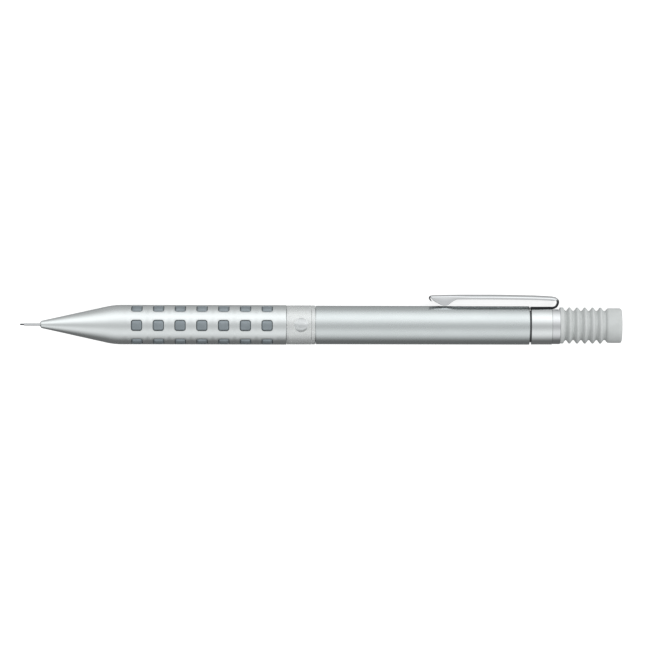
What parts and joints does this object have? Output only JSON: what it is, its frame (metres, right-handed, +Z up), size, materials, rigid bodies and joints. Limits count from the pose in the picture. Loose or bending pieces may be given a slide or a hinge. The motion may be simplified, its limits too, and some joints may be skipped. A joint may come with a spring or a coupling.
{
  "type": "mechanical pencil",
  "caption": "Metal mechanical pencil with a windowed rubber-stud grip, a turning grade ring, a spring clip and a bellows push cover that feeds the lead through a split chuck.",
  "frame": {"origin": "on the table under the middle of the pencil as it lies at rest on its grip studs and the outer corner of its clip", "axes": "+X along the pencil from the lead's tip to the push cover, +Z up from the table; the clip points to +Y and 28.1 degrees below level"},
  "size_m": [0.139, 0.0114, 0.0097],
  "materials": {
    "grip_metal": "satin",
    "barrel_metal": "satin",
    "bright_metal": "polished",
    "clip_chrome": "polished",
    "collar_chrome": "polished",
    "steel": "satin",
    "brass": "satin",
    "graphite": "matte",
    "grip_rubber": "matte",
    "nose_rubber": "matte",
    "cover_rubber": "matte",
    "eraser_rubber": "matte",
    "clear_grey": "gloss",
    "white_plastic": "satin",
    "grey_plastic": "satin",
    "black_plastic": "matte"
  },
  "bodies": {
    "body": {"barrel": "barrel_metal", "joint_core": "bright_metal", "grade_sleeve": "white_plastic", "mechanism_housing": "grey_plastic", "clutch_sleeve": "brass", "rear_bush": "black_plastic", "rear_ring": "bright_metal", "end_collar": "collar_chrome", "return_spring": "steel"},
    "front_grip": {"grip_shell": "grip_metal", "grip_insert": "grip_rubber", "lead_sleeve": "steel", "lead_retainer": "nose_rubber"},
    "window": {"window_ring": "clear_grey"},
    "cover_base": {"cover_ring": "white_plastic"},
    "knob": {"knob_core": "white_plastic", "bellows": "cover_rubber"},
    "chuck_unit": {"chuck": "brass", "chuck_adapter": "brass", "lead_tube": "grey_plastic", "eraser_holder": "white_plastic"},
    "clutch": {"clutch_ring": "brass"},
    "lead": {"lead": "graphite"},
    "eraser": {"eraser": "eraser_rubber"},
    "clip": {"clip": "clip_chrome"}
  },
  "joints": [
    {"name": "grip_draw", "type": "slide", "parent": "body", "child": "front_grip", "axis": [-1, 0, 0], "range_m": [0, 0.055]},
    {"name": "window_turn", "type": "hinge", "parent": "body", "child": "window", "pos_m": [-0.005, -0.00098, 0.00465], "axis": [1, 0, 0], "continuous": true},
    {"name": "cover_pull", "type": "slide", "parent": "body", "child": "cover_base", "axis": [1, 0, 0], "range_m": [0, 0.03]},
    {"name": "knob_press", "type": "slide", "parent": "cover_base", "child": "knob", "axis": [-1, 0, 0], "range_m": [0, 0.003], "stiffness_N_per_m": 1000, "deforming": ["bellows"]},
    {"name": "chuck_feed", "type": "slide", "parent": "body", "child": "chuck_unit", "axis": [-1, 0, 0], "range_m": [0, 0.00301], "deforming": ["return_spring"]},
    {"name": "clutch_slide", "type": "slide", "parent": "body", "child": "clutch", "axis": [-1, 0, 0], "range_m": [0, 0.00081]},
    {"name": "lead_feed", "type": "slide", "parent": "clutch", "child": "lead", "axis": [-1, 0, 0], "range_m": [-0.0009, 0.045]},
    {"name": "eraser_draw", "type": "slide", "parent": "chuck_unit", "child": "eraser", "axis": [1, 0, 0], "range_m": [0, 0.0121]},
    {"name": "clip_flex", "type": "hinge", "parent": "body", "child": "clip", "pos_m": [0.0545, 0.00374, 0.00213], "axis": [0, -0.4708, -0.8822], "range_deg": [0, 4], "stiffness_Nm_per_rad": 1.5, "deforming": ["clip"]}
  ],
  "couplings": [
    {"joint": "chuck_feed", "follows": "knob_press", "ratio": 1},
    {"joint": "clutch_slide", "follows": "knob_press", "ratio": 0.26667},
    {"joint": "eraser_draw", "follows": "cover_pull", "ratio": 0.4}
  ]
}
